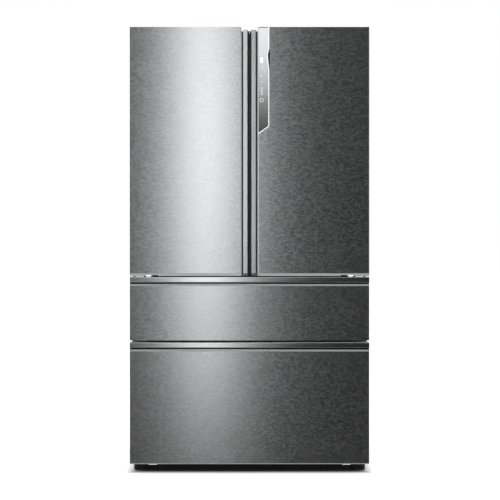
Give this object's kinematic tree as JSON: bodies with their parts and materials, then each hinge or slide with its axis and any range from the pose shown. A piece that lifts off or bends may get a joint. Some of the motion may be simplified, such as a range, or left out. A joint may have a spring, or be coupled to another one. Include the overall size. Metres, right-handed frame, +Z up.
{
  "type": "french door refrigerator",
  "caption": "Tall brushed-steel refrigerator with hinged french doors over stacked freezer drawers, recessed grips and a slim touch strip.",
  "frame": {"origin": "centre of the footprint on the floor, under the middle of the width and depth", "axes": "+X to the right seen from the front, the doors face -Y, +Z up"},
  "size_m": [1.005, 0.76, 1.88],
  "materials": {
    "brushed_steel": "horizontally brushed stainless steel, satin",
    "brushed_aluminium": "brushed and anodised extrusion",
    "painted_steel": "dark grey powder coat, fine orange peel",
    "zinc_sheet": "zinc-plated sheet, dull",
    "screw_steel": "bright plated",
    "polished_chrome": "polished",
    "touch_glass": null,
    "white_liner": "vacuum-formed white polystyrene",
    "white_liner_foamed": "vacuum-formed white liner with its foam core",
    "white_plastic": "moulded white plastic, fine texture",
    "grey_plastic": "moulded grey plastic, fine texture",
    "black_plastic": "moulded black plastic",
    "clear_plastic": "clear polystyrene",
    "clear_glass": "toughened glass with a green edge",
    "lamp_lens": "diffusing lens over light-emitting diodes",
    "grey_rubber": "soft magnetic gasket",
    "foam": null,
    "fin_aluminium": "mill-finish fins",
    "dark_fins": "black-painted fins and tube",
    "black_paint": "black enamel"
  },
  "bodies": {
    "cabinet": {"cabinet_shell": "painted_steel", "back_panel": "zinc_sheet", "rear_spacers": "black_plastic", "fridge_liner": "white_liner", "freezer_liner": "white_liner", "front_cross_rails": "painted_steel", "insulation_foam": "foam", "air_duct_cover": "white_plastic", "light_strips": "lamp_lens", "shelf_glass": "clear_glass", "shelf_frames": "white_plastic", "base_frame": "zinc_sheet", "kick_plate": "black_plastic", "top_hinges": "zinc_sheet", "hinge_covers": "grey_plastic", "middle_hinges": "zinc_sheet", "hinge_screws": "screw_steel", "slide_channels": "zinc_sheet", "evaporator": "fin_aluminium", "evaporator_cover": "white_plastic", "fan_motors": "grey_plastic", "compressor": "black_paint", "condenser": "dark_fins", "machine_cover": "zinc_sheet", "power_inlet": "black_plastic"},
    "left_door": {"left_door_panel": "brushed_steel", "left_door_liner": "white_liner_foamed", "left_door_grip": "brushed_aluminium", "left_door_gasket": "grey_rubber", "left_door_bins": "clear_plastic"},
    "right_door": {"right_door_panel": "brushed_steel", "right_door_liner": "white_liner_foamed", "right_door_grip": "brushed_aluminium", "right_door_gasket": "grey_rubber", "right_door_bins": "clear_plastic", "control_panel": "touch_glass", "control_bezel": "polished_chrome"},
    "centre_mullion": {"flip_mullion": "grey_plastic"},
    "upper_drawer": {"upper_drawer_panel": "brushed_steel", "upper_drawer_liner": "white_liner_foamed", "upper_drawer_grip": "brushed_aluminium", "upper_drawer_gasket": "grey_rubber", "upper_basket": "clear_plastic", "upper_slide_rails": "zinc_sheet"},
    "lower_drawer": {"lower_drawer_panel": "brushed_steel", "lower_drawer_liner": "white_liner_foamed", "lower_drawer_grip": "brushed_aluminium", "lower_drawer_gasket": "grey_rubber", "lower_basket": "clear_plastic", "lower_slide_rails": "zinc_sheet"},
    "upper_middles": {"upper_slide_middles": "zinc_sheet"},
    "lower_middles": {"lower_slide_middles": "zinc_sheet"},
    "tray": {"freezer_tray": "clear_plastic"},
    "right_crisper": {"crisper_right": "clear_plastic"},
    "left_crisper": {"crisper_left": "clear_plastic"},
    "cooling_fan": {"condenser_fan": "black_plastic"},
    "cold_air_fan": {"evaporator_fan": "white_plastic"},
    "right_foot": {"foot_right": "black_plastic"},
    "left_foot": {"foot_left": "black_plastic"},
    "rollers": {"rear_rollers": "black_plastic"}
  },
  "joints": [
    {"name": "left_door_hinge", "type": "hinge", "parent": "cabinet", "child": "left_door", "pos_m": [-0.482, -0.345, 1.35], "axis": [0, 0, -1], "range_deg": [0, 120]},
    {"name": "right_door_hinge", "type": "hinge", "parent": "cabinet", "child": "right_door", "pos_m": [0.482, -0.345, 1.35], "axis": [0, 0, 1], "range_deg": [0, 120]},
    {"name": "mullion_fold", "type": "hinge", "parent": "left_door", "child": "centre_mullion", "pos_m": [-0.03, -0.2825, 1.341], "axis": [0, 0, -1], "range_deg": [0, 90]},
    {"name": "upper_drawer_slide", "type": "slide", "parent": "cabinet", "child": "upper_drawer", "axis": [0, -1, 0], "range_m": [0, 0.4]},
    {"name": "lower_drawer_slide", "type": "slide", "parent": "cabinet", "child": "lower_drawer", "axis": [0, -1, 0], "range_m": [0, 0.4]},
    {"name": "upper_middle_slide", "type": "slide", "parent": "cabinet", "child": "upper_middles", "axis": [0, -1, 0], "range_m": [0, 0.2]},
    {"name": "lower_middle_slide", "type": "slide", "parent": "cabinet", "child": "lower_middles", "axis": [0, -1, 0], "range_m": [0, 0.2]},
    {"name": "tray_slide", "type": "slide", "parent": "lower_drawer", "child": "tray", "axis": [0, -1, 0], "range_m": [0, 0.2]},
    {"name": "right_crisper_slide", "type": "slide", "parent": "cabinet", "child": "right_crisper", "axis": [0, -1, 0], "range_m": [0, 0.045]},
    {"name": "left_crisper_slide", "type": "slide", "parent": "cabinet", "child": "left_crisper", "axis": [0, -1, 0], "range_m": [0, 0.045]},
    {"name": "cooling_fan_spin", "type": "hinge", "parent": "cabinet", "child": "cooling_fan", "pos_m": [-0.031, 0.258, 0.162], "axis": [1, 0, 0], "continuous": true},
    {"name": "cold_air_fan_spin", "type": "hinge", "parent": "cabinet", "child": "cold_air_fan", "pos_m": [0, 0.212, 0.66], "axis": [0, -1, 0], "continuous": true},
    {"name": "right_foot_turn", "type": "hinge", "parent": "cabinet", "child": "right_foot", "pos_m": [0.478, -0.255, 0.02], "axis": [0, 0, 1], "continuous": true},
    {"name": "left_foot_turn", "type": "hinge", "parent": "cabinet", "child": "left_foot", "pos_m": [-0.478, -0.255, 0.02], "axis": [0, 0, 1], "continuous": true},
    {"name": "roller_spin", "type": "hinge", "parent": "cabinet", "child": "rollers", "pos_m": [0, 0.33, 0.02], "axis": [1, 0, 0], "continuous": true}
  ],
  "couplings": [
    {"joint": "upper_middle_slide", "follows": "upper_drawer_slide", "ratio": 0.5},
    {"joint": "lower_middle_slide", "follows": "lower_drawer_slide", "ratio": 0.5}
  ]
}
